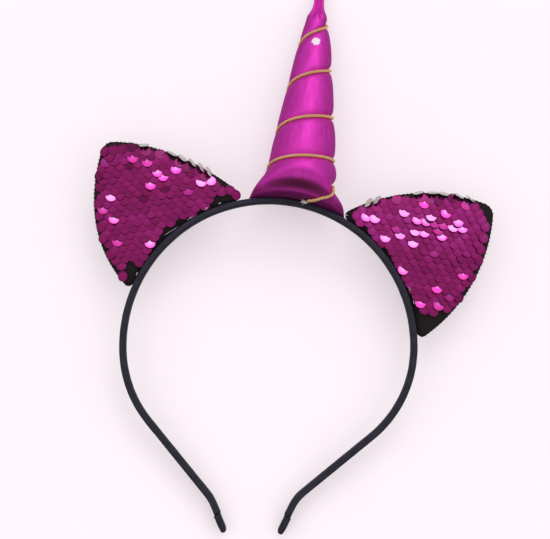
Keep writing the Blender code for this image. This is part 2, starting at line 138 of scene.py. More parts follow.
# The horn's right side is drawn in by the cord's first turn, and its front turns under
WAIST_RISE = 7.2 * MM
WAIST_WIDTH = 3.0 * MM
WAIST_DEPTH = 3.0 * MM
FOLD_RISE = 6.6 * MM
FOLD_HEIGHT = 3.6 * MM
FOLD_SPREAD = 1.25  # radians to each side of the front
TUCK_DEPTH = 2.8 * MM
# Painted shade along the foot next to the band, as a share of the darkest
HEM_SHADE = 0.7
FOLD_EDGE = 4 * MM  # over which the fold's painted shade fades
FOOT_FRONT = 17 * MM  # half depth that the fold's painted shade is measured by
# A rubbed spot, the cloth's unevenness, the gathered neck and the cord's plies
RUBBED_RISE = 77.9 * MM
RUBBED_TURN = 0.01
WRINKLE_DEPTH = 0.07 * MM
LUMP_DEPTH = 0.14 * MM
PRESSED_TO = 95 * MM  # the cord and its grooves end here
GATHER_RISE = 90 * MM
GATHER_BLEND = 8 * MM
PLEATS = 9  # gathers round the neck
PLEAT_DEPTH = 0.22
CORD_PLIES = 3
PLY_RADIUS = 0.34 * MM
PLY_OFFSET = 0.38 * MM
PLY_PITCH = 2.4 * MM
PLY_STEP = 0.2 * MM
PLY_AROUND = 7
SPLAY = 1.1  # how far the plies part at the cord's start
FRAY_SEED = 4
FRAY_THREADS = 11
FRAY_RADIUS = 0.11 * MM

# Ears, as in the part's source: degrees from the loop's top, height of the sharp tip, bow
EARS = {
    "left": (-46.0, 123.0 * MM, -2.0 * MM),
    "right": (51.2, 124.2 * MM, 0.2 * MM),
}
EAR_HALF_WIDTH = 34.1 * MM
EAR_SHOULDER = 65.5 * MM
EAR_SIDE_RADIUS = 78 * MM
EAR_TIP_RADIUS = 6.0 * MM
EAR_CORNER_RADIUS = 2.5 * MM
EAR_CENTRE = Vector((0.0, 90 * MM))
EAR_EDGE = -0.1 * MM  # height of the seam round the ear
EAR_CROWN = 2.7 * MM  # front padding over the seam
EAR_BACK = 3.3 * MM
EAR_RINGS = 22
EAR_LUMP = 0.18 * MM
EAR_LUMP_SIZE = 12 * MM
SEAM_RADIUS = 0.55 * MM
SEAM_STEPS = 6
SEAM_SWELL = 0.012  # share of the ear's width that the seam stands past its outline
STITCH_PITCH = 1.6 * MM
STITCH_RADIUS = 0.13 * MM
THREAD_AROUND = 5

# Sequins
SEQUIN_RADIUS = 2.5 * MM
SEQUIN_THICKNESS = 0.16 * MM
SEQUIN_SIDES = 26
HOLE_SIDES = 8
HOLE_RADIUS = 0.4 * MM
HOLE_PLACE = 1.85 * MM  # above the sequin's middle
HOLE_STANDOFF = 0.25 * MM  # of the hole from the padding
MIDDLE_STANDOFF = 0.35 * MM
SEQUIN_PITCH = 4.3 * MM
ROW_PITCH = 2.7 * MM
ROW_ANGLES = {"left": 16.0, "right": -3.0}  # degrees from level
SEQUIN_MARGIN = 1.1 * MM  # from a sequin's middle to the ear's outline, at least
SEQUIN_SEEDS = {"left": 11, "right": 23}
STRAY = 0.22  # millimetres from its place in the rows, at most
# Degrees that a sequin's lower edge stands off the cloth, that it leans right and that it is
# turned on the cloth, each with its spread
SEQUIN_TURNS = ((10.0, 2.2), (3.0, 2.5), (0.0, 6.0))
LEAN_ACROSS = 1.15  # share of the padding's sideways slope that the sequins follow
LEAN_UP = 0.6  # share of its slope towards the top that they follow

# Depth of the film's colour, from dark to pale and partly painted light, and how far a picked sequin
# turns to the light
PLAIN_TINT = (0.38, 0.62)
# Painted highlight: picked sequins get paler film as well as turning to the key light
BRIGHT_PAINTED_HIGHLIGHT = (1.0, 1.2)
BRIGHT_WOBBLE = 0.05
SOFT_PAINTED_HIGHLIGHT = (0.8, 0.95)
SOFT_TURN = 0.75
MILD_PAINTED_HIGHLIGHT = 0.78
MILD_TURN = 0.5
DULL_TINT = 0.2
REVERSED_TINT = 0.4
# Painted shade: darker film at each sequin's rim, lighter towards its hole
RIM_PAINTED_SHADE = 0.75
HOLE_PAINTED_LIGHT = 1.15
UPPER_PAINTED_LIGHT = {"left": 0.0, "right": 0.17}  # painted light: brighter film on an ear's upper half
UPPER_HALF = 50 * MM  # where that half starts, along Y in the band's plane
GLARE_PAINTED_SHADE = 0.85  # painted shade: how much darker the film is where a sequin would mirror the key light
GLARE_START = 0.975  # cosine of the angle to that facing
GLARE_RANGE = 0.02
# Places in the band's plane, in millimetres: cloth without sequins, with its radius
BARE = {
    "left": (
        (-31.0, 65.8, 3.5), (-26.5, 64.2, 2.6), (-33.5, 62.5, 3.2), (-39.5, 57.5, 3.0),
        (-46.5, 51.5, 4.6), (-52.0, 45.5, 5.0), (-57.5, 39.5, 3.8), (-68.2, 28.2, 4.2),
        (-65.0, 22.5, 5.2),
    ),
    "right": (
        (74.2, 20.4, 5.4), (68.5, 21.0, 4.0), (79.8, 24.4, 2.6), (69.0, 15.5, 6.0),
        (95.5, 76.5, 3.6), (93.5, 80.0, 3.2),
    ),
}
# The sequin nearest to each place is picked: bright, soft and mild ones turn to the light and get a
# painted highlight in their film
PICKED = {
    "left": {
        "bright": ((-82.3, 58.7), (-78.4, 50.2), (-62.0, 40.5), (-40.5, 72.1), (-36.7, 71.6)),
        "soft": (
            (-75.2, 40.2), (-83.2, 54.8), (-52.7, 78.6), (-63.4, 73.9), (-60.9, 72.3), (-64.8, 69.9),
        ),
        "mild": ((-72.3, 80.2), (-87.2, 75.5), (-68.8, 79.2), (-33.0, 73.1), (-45.4, 69.0)),
        "dull": ((-65.6, 61.3), (-58.7, 66.4), (-75.8, 74.7)),
    },
    "right": {
        "bright": (
            (36.4, 66.2), (41.2, 65.4), (47.4, 57.6), (55.2, 59.1), (59.3, 56.3), (61.3, 63.6),
            (62.1, 68.0), (65.4, 60.4), (67.0, 67.2), (68.3, 71.6), (73.9, 61.0), (78.9, 66.3),
            (80.9, 69.0), (84.2, 65.1), (54.7, 70.8), (60.1, 42.7),
        ),
        "soft": ((75.0, 37.0), (68.4, 28.6), (76.1, 27.7), (68.9, 24.4), (88.2, 44.8), (73.0, 72.5)),
        "mild": (
            (64.8, 74.5), (76.2, 72.7), (83.0, 76.1), (70.1, 67.5), (74.5, 68.3), (71.2, 63.2),
            (52.8, 63.1), (70.5, 53.0), (80.8, 33.1), (57.3, 67.0),
        ),
        "dull": ((82.0, 34.0),),
    },
}
# Reversed sequins along the ear's upper edge: where they start and end, and how many
TURNED_UP = {
    "left": (((-74.0, 85.0), (-66.0, 86.0), 1), ((-60.0, 83.0), (-34.0, 78.5), 5)),
    "right": (((36.0, 72.0), (44.0, 75.5), 2), ((58.0, 80.0), (88.0, 80.0), 5)),
}
TURNED_UP_LEAN = (16, 26)  # degrees back from upright
TURNED_UP_HEIGHT = (1.6, 2.0)  # millimetres over the seam

# Dried glue along the joints, in millimetres: place, height, length, its angle in degrees, width
GLUE = (
    (-37.0, 60.3, 3.4, 2.0, 38, 0.32), (-31.0, 63.6, 3.4, 1.4, 30, 0.28),
    (-52.0, 48.0, 3.3, 7.5, 42, 0.2), (-44.0, 55.0, 3.4, 3.6, 40, 0.2),
    (-65.3, 26.0, 3.2, 1.8, 65, 0.32), (23.0, 67.5, 3.4, 3.0, -18, 0.22),
    (28.5, 65.6, 3.4, 1.8, -24, 0.25), (62.2, 35.0, 3.4, 2.4, -60, 0.25),
    (65.0, 29.0, 3.3, 1.8, -70, 0.25), (-12.0, 70.2, 3.6, 2.0, 8, 0.2),
)
GLUE_SEED = 7


def turned(degrees):
    """Unit vectors out of the loop and along the strip, at an angle from the loop's top."""
    turn = radians(degrees)
    out = Vector((sin(turn), cos(turn)))
    return out, Vector((out.y, -out.x))


def smooth_step(t):
    t = min(1.0, max(0.0, t))
    return t * t * (3 - 2 * t)


def bell(away, width):
    return exp(-((away / width) ** 2))


def smooth_through(rows, x):
    """The second column at x, on a smooth curve through every row."""
    last = len(rows) - 1
    i = max(0, min(last - 1, sum(1 for row in rows if row[0] <= x) - 1))
    x0, y0 = rows[i]
    x1, y1 = rows[i + 1]
    span = x1 - x0
    slope0 = slope1 = (y1 - y0) / span
    if i > 0:
        slope0 = (y1 - rows[i - 1][1]) / (x1 - rows[i - 1][0])
    if i + 1 < last:
        slope1 = (rows[i + 2][1] - y0) / (rows[i + 2][0] - x0)
    t = (x - x0) / span
    start = (2 * t**3 - 3 * t**2 + 1) * y0 + (t**3 - 2 * t**2 + t) * span * slope0
    return start + (3 * t**2 - 2 * t**3) * y1 + (t**3 - t**2) * span * slope1


def find_plane(node):
    """The band's plane, from its solid: flat in Z, its outer top at OUTER_RADIUS on the Y axis."""
    points = np.array([vert.co for vert in node.data.vertices])
    normal = np.linalg.svd(points - points.mean(axis=0), full_matrices=False)[2][2]
    normal *= copysign(1.0, normal[2])
    tip = atan2(-normal[1], normal[2])
    turn = Matrix.Rotation(tip, 3, "X")
    heights = points @ np.array(turn @ Vector((0.0, 1.0, 0.0)))
    top = points[heights > heights.max() - 0.02 * MM].mean(axis=0)
    level = turn.inverted() @ Vector(top)
    flat = turn.inverted() @ Vector(points.mean(axis=0))
    place = turn @ Vector((level.x, level.y - OUTER_RADIUS, flat.z))
    return Matrix.Translation(place) @ turn.to_4x4()


# Meshes


def new_object(name, data):
    thing = bpy.data.objects.new(name, data)
    bpy.context.scene.collection.objects.link(thing)
    return thing


def add_piece(name, data, materials, matrix, replaced=()):
    """A piece of the headband: its mesh is moved by the matrix, and it may replace solids."""
    for material in materials:
        data.materials.append(material)
    data.transform(matrix)
    piece = new_object(name, data)
    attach(piece, "root")
    if replaced:
        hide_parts(*replaced)
    return piece


def circle(centre, first, second, count):
    """Points round an ellipse, given by its two half axes."""
    ring = []
    for i in range(count):
        turn = 2 * pi * i / count
        ring.append(centre + first * cos(turn) + second * sin(turn))
    return ring


def neighbours(loop):
    return zip(loop, loop[1:] + loop[:1])


def tube_mesh(name, tubes):
    """A smooth mesh of tubes with closed ends, each a list of rings of equal length."""
    points = []
    faces = []
    for rings in tubes:
        around = len(rings[0])
        first = len(points)
        last = first + (len(rings) - 1) * around
        for base in range(first, last, around):
            for i in range(around):
                j = (i + 1) % around
                faces.append((base + i, base + j, base + around + j, base + around + i))
        faces.append(tuple(first + i for i in reversed(range(around))))
        faces.append(tuple(last + i for i in range(around)))
        points += [tuple(point) for ring in rings for point in ring]
    data = bpy.data.meshes.new(name)
    data.from_pydata(points, [], faces)
    data.validate()
    data.shade_smooth()
    mesh = bmesh.new()
    mesh.from_mesh(data)
    bmesh.ops.recalc_face_normals(mesh, faces=mesh.faces)
    mesh.to_mesh(data)
    mesh.free()
    return data


def store(data, name, values):
    """Keeps one value for each point of a mesh, which its material reads."""
    data.attributes.new(name, "FLOAT", "POINT").data.foreach_set("value", values)


def uneven(point, size, seed=0.0):
    """Smooth noise from -1 to 1 with lumps of about that size."""
    return noise.noise(point / size + Vector((seed, seed * 1.7, -seed)))


# Materials


class Look:
    """Builds the nodes of its owner, a material or the world."""

    def __init__(self, owner):
        owner.use_nodes = True
        self.owner = owner
        self.nodes = owner.node_tree.nodes
        self.place = self.add("ShaderNodeTexCoord").outputs["Object"]

    def add(self, kind, **values):
        node = self.nodes.new(kind)
        for key, value in values.items():
            if key in node.inputs:
                node.inputs[key].default_value = value
            else:
                setattr(node, key, value)
        return node

    def link(self, source, target):
        self.owner.node_tree.links.new(source, target)

    def feed(self, name, source):
        self.link(source, self.nodes["Principled BSDF"].inputs[name])

    def settle(self, values):
        set_inputs(self.nodes["Principled BSDF"], values)

    def mottled(self, scale, detail=3.0, vector=None):
        node = self.add("ShaderNodeTexNoise", Scale=scale, Detail=detail)
        self.link(vector or self.place, node.inputs["Vector"])
        return node.outputs["Fac"]

    def ramp(self, source, *stops):
        """Colours along a value from 0 to 1."""
        node = self.add("ShaderNodeValToRGB")
        while len(node.color_ramp.elements) < len(stops):
            node.color_ramp.elements.new(0.5)
        for element, (place, colour) in zip(node.color_ramp.elements, stops):
            element.position = place
            element.color = (*colour, 1.0)
        self.link(source, node.inputs["Fac"])
        return node.outputs["Color"]

    def range_of(self, source, low, high, start=0.0, end=1.0, **values):
        """Maps start to end onto low to high."""
        node = self.add("ShaderNodeMapRange", **values)
        set_inputs(node, {"From Min": start, "From Max": end, "To Min": low, "To Max": high})
        self.link(source, node.inputs["Value"])
        return node.outputs["Result"]

    def combined(self, operation, first, second):
        node = self.add("ShaderNodeMath", operation=operation)
        self.link(first, node.inputs[0])
        self.link(second, node.inputs[1])
        return node.outputs["Value"]

    def mixed(self, share, first, second):
        """One colour turning into another, constant one, with a share from 0 to 1."""
        node = self.add("ShaderNodeMix", data_type="RGBA")
        self.link(share, node.inputs["Factor"])
        self.link(first, node.inputs[6])
        node.inputs[7].default_value = (*second, 1.0)
        return node.outputs[2]

    def stored(self, name):
        """The value that the mesh keeps under that name."""
        return self.add("ShaderNodeAttribute", attribute_name=name).outputs["Fac"]

    def weave(self, size, turn=0.0):
        """Threads that cross at right angles, one every size metres."""
        heights = []
        for direction in ("X", "Y"):
            mapping = self.add("ShaderNodeMapping", Rotation=(0.0, 0.0, turn))
            self.link(self.place, mapping.inputs["Vector"])
            wave = self.add("ShaderNodeTexWave", bands_direction=direction)
            set_inputs(wave, {"Scale": pi / 10 / size, "Distortion": 0.6, "Detail Scale": 2.0})
            self.link(mapping.outputs["Vector"], wave.inputs["Vector"])
            heights.append(wave.outputs["Fac"])
        return self.combined("MULTIPLY", *heights)

    def bump(self, *heights):
        """Bumps one over the other: (height, strength, depth in metres)."""
        normal = None
        for source, strength, depth in heights:
            node = self.add("ShaderNodeBump", Strength=strength, Distance=depth)
            self.link(source, node.inputs["Height"])
            if normal is not None:
                self.link(normal, node.inputs["Normal"])
            normal = node.outputs["Normal"]
        self.feed("Normal", normal)


def set_inputs(node, values):
    for name, value in values.items():
        node.inputs[name].default_value = value


def new_look(name, colour, roughness, metallic=0.0):
    look = Look(bpy.data.materials.new(name))
    look.settle({"Base Color": (*colour, 1.0), "Roughness": roughness, "Metallic": metallic})
    return look


def lame():
    """Magenta metallic cloth: fine threads, faint streaks, one rubbed spot, and painted shade in the
    fold under its front and along its foot.
    """
    look = new_look("magenta_lame", (0.5, 0.035, 0.3), 0.42, 0.8)
    streaks = look.add("ShaderNodeMapping", Scale=(3.0, 0.5, 3.0))
    look.link(look.place, streaks.inputs["Vector"])
    cloudy = look.mottled(160.0, 4.0, streaks.outputs["Vector"])
    tone = look.ramp(
        cloudy, (0.3, (0.76, 0.04, 0.5)), (0.55, (0.83, 0.05, 0.57)), (0.75, (0.9, 0.065, 0.68))
    )
    spot = look.add("ShaderNodeVectorMath", operation="DISTANCE")
    look.link(look.place, spot.inputs[0])
    spot.inputs[1].default_value = RUBBED_SPOT
    ragged = look.range_of(look.mottled(900.0, 2.0), -1.4 * MM, 1.4 * MM)
    edge = look.combined("ADD", spot.outputs["Value"], ragged)
    rubbed = look.range_of(edge, 0.0, 1.0, 2.2 * MM, 1.8 * MM)
    tone = look.mixed(rubbed, tone, (0.78, 0.68, 0.76))
    # Painted shade: the fold under the horn's front and its foot by the band darken the base colour
    folded = look.range_of(look.stored("fold"), 0.0, 0.98)
    look.feed("Base Color", look.mixed(folded, tone, (0.08, 0.005, 0.028)))
    look.feed("Metallic", look.range_of(rubbed, 0.78, 0.1))
    look.feed("Roughness", look.range_of(look.mottled(500.0), 0.43, 0.53))
    look.bump((cloudy, 0.16, 0.4 * MM), (look.weave(0.45 * MM), 0.35, 0.1 * MM))
    return look.owner


def satin(name, colour):
    """Dark ribbon: fine ribs across it, and a cloudy, bluish shine."""
    look = new_look(name, colour, 0.5)
    cloudy = look.mottled(220.0)
    light = tuple(1.4 * part + 0.003 for part in colour)
    look.feed("Base Color", look.ramp(cloudy, (0.35, colour), (0.75, light)))
    look.feed("Roughness", look.range_of(look.mottled(700.0), 0.36, 0.6))
    look.settle({"Sheen Weight": 0.04, "Sheen Roughness": 0.4, "Specular IOR Level": 0.25})
    look.settle({"Sheen Tint": (0.55, 0.58, 0.75, 1.0)})
    ribs = look.weave(0.35 * MM, radians(45))
    look.bump((cloudy, 0.3, 0.3 * MM), (ribs, 0.35, 0.08 * MM))
    return look.owner


def knit():
    """Matt black knit with tiny loops and a little fluff."""
    look = new_look("black_knit", (0.016, 0.011, 0.013), 0.85)
    loops = look.weave(0.8 * MM, radians(45))
    tone = look.ramp(loops, (0.2, (0.007, 0.004, 0.005)), (0.9, (0.032, 0.021, 0.024)))
    look.feed("Base Color", tone)
    look.settle({"Sheen Weight": 0.04, "Sheen Roughness": 0.6, "Specular IOR Level": 0.15})
    look.bump((loops, 0.7, 0.25 * MM), (look.mottled(1500.0), 0.3, 0.1 * MM))
    return look.owner


def gold_thread():
    """Metallic gold, with painted shade in the grooves between the plies."""
    look = new_look("gold_thread", (0.95, 0.6, 0.22), 0.32, 0.3)
    fine = look.mottled(2600.0)
    tone = look.ramp(
        fine, (0.3, (0.8, 0.42, 0.12)), (0.5, (1.0, 0.66, 0.26)), (0.75, (1.0, 0.82, 0.5))
    )
    # Painted shade: the base colour darkens towards the grooves between the plies
    look.feed("Base Color", look.mixed(look.stored("groove"), tone, (0.24, 0.08, 0.02)))
    look.bump((fine, 0.4, 0.05 * MM))
    return look.owner


def sequin_film():
    """Glossy magenta film, whose depth of colour varies from one sequin to the next, with painted
    highlight and painted shade on top.
    """
    look = new_look("sequin_film", (0.4, 0.02, 0.19), 0.24, 0.85)
    # The darkest stop is painted shade on the edge walls; the palest stops are a painted highlight
    # on sequins turned to the key light
    tone = look.ramp(
        look.stored("tone_and_painted_light"),
        (0.0, (0.07, 0.006, 0.045)),
        (0.25, (0.22, 0.012, 0.1)),
        (0.5, (0.36, 0.018, 0.17)),
        (0.75, (0.5, 0.035, 0.3)),
        (1.0, (0.46, 0.17, 0.42)),
    )
    look.feed("Base Color", tone)
    look.feed("Roughness", look.range_of(look.mottled(400.0), 0.14, 0.26))
    look.bump((look.mottled(500.0), 0.15, 0.1 * MM))
    return look.owner


def sequin_reverse():
    look = new_look("sequin_reverse", (0.8, 0.78, 0.74), 0.35, 0.3)
    tone = look.ramp(look.mottled(700.0), (0.3, (0.6, 0.57, 0.52)), (0.7, (0.88, 0.87, 0.83)))
    look.feed("Base Color", tone)
    return look.owner


def dried_glue():
    look = new_look("dried_glue", (0.82, 0.8, 0.82), 0.3)
    tone = look.ramp(look.mottled(900.0), (0.3, (0.3, 0.3, 0.34)), (0.7, (0.55, 0.54, 0.58)))
    look.feed("Base Color", tone)
    look.settle({"Alpha": 0.75})
    return look.owner


# Band


def half_band(side):
    """Places down one half of the band, drawn on the right: point and direction in degrees."""
    crown, leg, leg_length, flare = BAND_SIDES[side]
    places = []
    for turn in even_steps(0.0, crown, CROWN_RADIUS):
        places.append((CROWN_RADIUS * turned(turn)[0], turn))
    shift = (CROWN_RADIUS - BEND_RADIUS) * turned(crown)[0]
    for turn in even_steps(crown, leg, BEND_RADIUS)[1:]:
        places.append((shift + BEND_RADIUS * turned(turn)[0], turn))
    start = places[-1][0]
    out, along = turned(leg)
    count = round(leg_length / BAND_STEP)
    for step in range(1, count + 1):
        places.append((start + along * leg_length * step / count, leg))
    pivot = places[-1][0] + FLARE_RADIUS * out
    for turn in even_steps(leg, leg - flare, FLARE_RADIUS)[1:]:
        places.append((pivot - FLARE_RADIUS * turned(turn)[0], turn))
    return places


def even_steps(start, end, radius):
    """Angles in degrees from start to end, about a BAND_STEP apart on that radius."""
    count = ceil(radius * radians(abs(end - start)) / BAND_STEP)
    return [start + (end - start) * i / count for i in range(count + 1)]


def rounded_box(width, height, rounding, count):
    """Points round a rounded rectangle, evenly spaced along its outline."""
    a = width / 2 - rounding
    b = height / 2 - rounding
    steps = 8  # along each corner
    outline = []
    for quarter, (x, y) in enumerate(((a, b), (-a, b), (-a, -b), (a, -b))):
        for i in range(steps + 1):
            angle = pi / 2 * (quarter + i / steps)
            outline.append((x + rounding * cos(angle), y + rounding * sin(angle)))
    outline.append(outline[0])
    lengths = [0.0]
    for (x0, y0), (x1, y1) in zip(outline, outline[1:]):
        lengths.append(lengths[-1] + hypot(x1 - x0, y1 - y0))
    spots = np.linspace(0.0, lengths[-1], count, endpoint=False)
    xs = np.interp(spots, lengths, [p[0] for p in outline])
    ys = np.interp(spots, lengths, [p[1] for p in outline])
    return list(zip(xs, ys))


def on_side(side, place, front):
    """A place on the half that is drawn on the right, moved to its own side."""
    return Vector((place.x if side == "right" else -place.x, place.y, front))


def strip_section(point, turn, side, section):
    """One ring of the wrapped strip, with the ribbon's lap, creases and small unevenness."""
    out = turned(turn)[0]
    lap_edge = LAP_HEIGHT + LAP_WANDER * uneven(point.to_3d(), 9 * MM)
    side_place, side_width = SIDE_CREASE
    front_place, front_width = FRONT_CREASE
    ring = []
    for across, front in section:
        inner = smooth_step(-across / (0.4 * MM))
        lap = LAP_STEP * inner * smooth_step((lap_edge - front) / (0.3 * MM))
        side_crease = CREASE_DEPTH * bell(front - side_place, side_width) * (1 - inner)
        front_crease = CREASE_DEPTH * bell(across - front_place, front_width)
        front_crease *= smooth_step(front / (3 * MM))
        spot = Vector((point.x, point.y, front))
        lump = RIBBON_LUMP * uneven(spot, RIBBON_LUMP_SIZE, RIBBON_SEED)
        across += lump - lap - side_crease
        front += lump - front_crease
        ring.append(on_side(side, point + out * across, front))
    return ring


def band_mesh():
    box = rounded_box(STRIP_THICKNESS + RIBBON_SWELL, STRIP_WIDTH, STRIP_ROUNDING, BAND_AROUND)
    section = [(across - RIBBON_SWELL / 2, front) for across, front in box]
    halves = {}
    for side in ("left", "right"):
        places = half_band(side)
        last, turn = places[-1]
        along = turned(turn)[1]
        for share in (0.35, 0.7, 1.0):
            places.append((last + along * share * (END_LENGTH - WRAP_LENGTH), turn))
        halves[side] = [strip_section(p, turn, side, section) for p, turn in places]
    return tube_mesh("band_ribbon", [halves["left"][:0:-1] + halves["right"]])


def wrap_mesh(side):
    """A ribbon folded over the strip's end: a lipped mouth, soft sides and a pinched tip."""
    last, turn = half_band(side)[-1]
    out, along = turned(turn)
    start = END_LENGTH - WRAP_LENGTH + GAP
    rings = []
    for reach, thick, wide in WRAP_ROWS:
        reach *= MM
        rounding = (0.28 + 0.5 * thick) * MM
        box = rounded_box(WRAP_THICKNESS * thick, WRAP_WIDTH * wide, rounding, WRAP_AROUND)
        ring = []
        for across, front in box:
            spot = Vector((across, front, start + reach))
            lump = WRAP_LUMP * uneven(spot, 1.8 * MM, WRAP_SEEDS[side])
            crease = WRAP_CREASE * bell(front - 1.2 * MM - 0.25 * reach, 0.3 * MM)
            place = last + along * (start + reach) + out * across * (1 + lump - crease)
            ring.append(on_side(side, place, front))
        rings.append(ring)
    return tube_mesh(f"ribbon_end_{side}", [rings])


# Horn and cord


def cord_gap(rise, turn):
    """Distances along the horn to the cord's next turn above a point and to the one below."""
    above = below = 99 * MM
    first = CORD_ROUTE[0][0]
    last = CORD_ROUTE[-1][0]
    for whole in range(ceil(last) + 1):
        wound = turn + whole
        if first <= wound <= last:
            away = MM * smooth_through(CORD_ROUTE, wound) - rise
            if away >= 0:
                above = min(above, away)
            else:
                below = min(below, -away)
    return above, below


def horn_girth(rise):
    first, full = HORN_PROFILE[0]
    if rise >= first * MM:
        radius = MM * smooth_through(HORN_PROFILE, rise / MM)
        return radius, radius
    share = rise / FOOT_RISE
    width = FOOT_HALF_WIDTH + (full * MM - FOOT_HALF_WIDTH) * share
    swell = sqrt(max(0.0, 1 - (1 - share) ** 2))
    depth = FOOT_HALF_DEPTH + (full * MM - FOOT_HALF_DEPTH) * swell
    return width, depth


def horn_place(rise, across, forward):
    """A point by its distance along the horn, to its right and to its front."""
    start = asin(HORN_PLACE / SEAT_RADIUS)
    turn = start + across / SEAT_RADIUS
    out = SEAT_RADIUS + rise
    bent = Vector((out * sin(turn), out * cos(turn), forward))
    lean = HORN_LEAN_BACK
    right = Vector((cos(HORN_LEAN_LEFT), sin(HORN_LEAN_LEFT), 0.0))
    axis = Vector((-sin(HORN_LEAN_LEFT), cos(lean), -sin(lean)))
    front = Vector((0.0, sin(lean), cos(lean)))
    base = Vector((HORN_PLACE, SEAT_RADIUS * cos(start), 0.0))
    free = base + axis * rise + right * across + front * forward
    return bent.lerp(free, smooth_step(rise / FOOT_BLEND))


def under_fold(rise, angle):
    """1 in the middle of the crescent where the horn's front turns under, 0 away from it."""
    angle = remainder(angle, 2 * pi)
    reach = 1 - (angle / FOLD_SPREAD) ** 2
    if reach <= 0:
        return 0.0
    middle = FOLD_RISE * (0.3 + 0.7 * reach)
    height = FOLD_HEIGHT * (0.45 + 0.55 * reach)
    return sqrt(reach) * exp(-(((rise - middle) / height) ** 4))


def horn_surface(rise, turn, pressed=True):
    """A point of the horn's cloth, so many turns round from its front."""
    width, depth = horn_girth(rise)
    angle = 2 * pi * turn
    drop = 0.0
    if pressed:
        above, below = cord_gap(rise, turn)
        nearest = min(above, below)
        right = 0.5 + 0.5 * sin(angle)
        drop = GROOVE_DEPTH * bell(nearest, GROOVE_WIDTH)
        drop += PINCH_DEPTH * (0.3 + 0.7 * right) * bell(nearest, PINCH_WIDTH)
        if above + below < WIDEST_WIND:
            between = sin(pi * below / (above + below))
            drop -= (BULGE + BULGE_RIGHT * right) * between
        drop *= smooth_step(rise / FOOT_BLEND)
    drop += WAIST_DEPTH * bell(rise - WAIST_RISE, WAIST_WIDTH) * max(0.0, sin(angle)) ** 2
    tuck = TUCK_DEPTH * under_fold(rise, angle)
    across = (width - drop) * sin(angle)
    forward = (depth - drop - tuck) * cos(angle)
    return horn_place(rise, across, forward)


def paint_fold_shade(data):
    """Stores how much painted shade each point on the horn's front gets: in the turned-under fold,
    and along the foot next to the band.
    """
    fold_painted_shades = []
    for vert in data.vertices:
        rise = vert.co.xy.length - SEAT_RADIUS
        across = atan2(vert.co.x, vert.co.y) * SEAT_RADIUS - HORN_PLACE
        angle = atan2(across / FOOT_HALF_WIDTH, max(vert.co.z, 0.0) / FOOT_FRONT)
        front = smooth_step(vert.co.z / FOLD_EDGE)
        below = smooth_step((FOLD_RISE - rise) / FOLD_EDGE)
        fold_painted_shades.append(front * max(under_fold(rise, angle), HEM_SHADE * below))
    store(data, "fold", fold_painted_shades)
    return data


def horn_mesh():
    end = HORN_PROFILE[-1][0] * MM
    rises = [FOOT_RISE * (1 - cos(pi / 2 * i / FOOT_ROWS)) for i in range(FOOT_ROWS + 1)]
    rows = round((end - FOOT_RISE) / HORN_ROW)
    rises += [FOOT_RISE + (end - FOOT_RISE) * i / rows for i in range(1, rows + 1)]
    middle = horn_place(0.0, 0.0, 0.0)
    rim = [horn_surface(0.0, i / HORN_AROUND, False) for i in range(HORN_AROUND)]
    rings = [[middle + (p - middle) * share for p in rim] for share in (0.3, 0.6, 0.85)]
    for rise in rises:
        centre = horn_place(rise, 0.0, 0.0)
        width = horn_girth(rise)[0]
        gathered = smooth_step((rise - GATHER_RISE) / GATHER_BLEND)
        calm = smooth_step(rise / (3 * MM)) * (1 - gathered)
        swing = 0.9 * sin(0.55 * rise / MM)
        ring = []
        for i in range(HORN_AROUND):
            turn = i / HORN_AROUND
            point = horn_surface(rise, turn, 0 < rise < PRESSED_TO)
            narrowed = Vector((4 * point.x, point.y, 4 * point.z))
            wrinkle = WRINKLE_DEPTH * uneven(narrowed, 11 * MM)
            wrinkle += LUMP_DEPTH * uneven(point, 9 * MM, 4.0)
            pleat = PLEAT_DEPTH * (cos(2 * pi * PLEATS * turn + swing) - 0.4)
            grow = 1 + calm * wrinkle / max(width, MM) + gathered * pleat
            ring.append(centre + (point - centre) * grow)
        rings.append(ring)
    return paint_fold_shade(tube_mesh("horn_lame", [rings]))


def cord_frame(turn):
    """The cord's middle and the way its surface faces, lying in its groove."""
    rise = MM * smooth_through(CORD_ROUTE, turn)
    here = horn_surface(rise, turn, False)
    along = horn_surface(rise + 0.2 * MM, turn, False) - here
    around = horn_surface(rise, turn + 0.004, False) - here
    out = around.cross(along).normalized()
    sunk = (GROOVE_DEPTH + PINCH_DEPTH) * smooth_step(rise / FOOT_BLEND)
    return here + out * (CORD_LIFT + CORD_DIAMETER / 2 - sunk), out


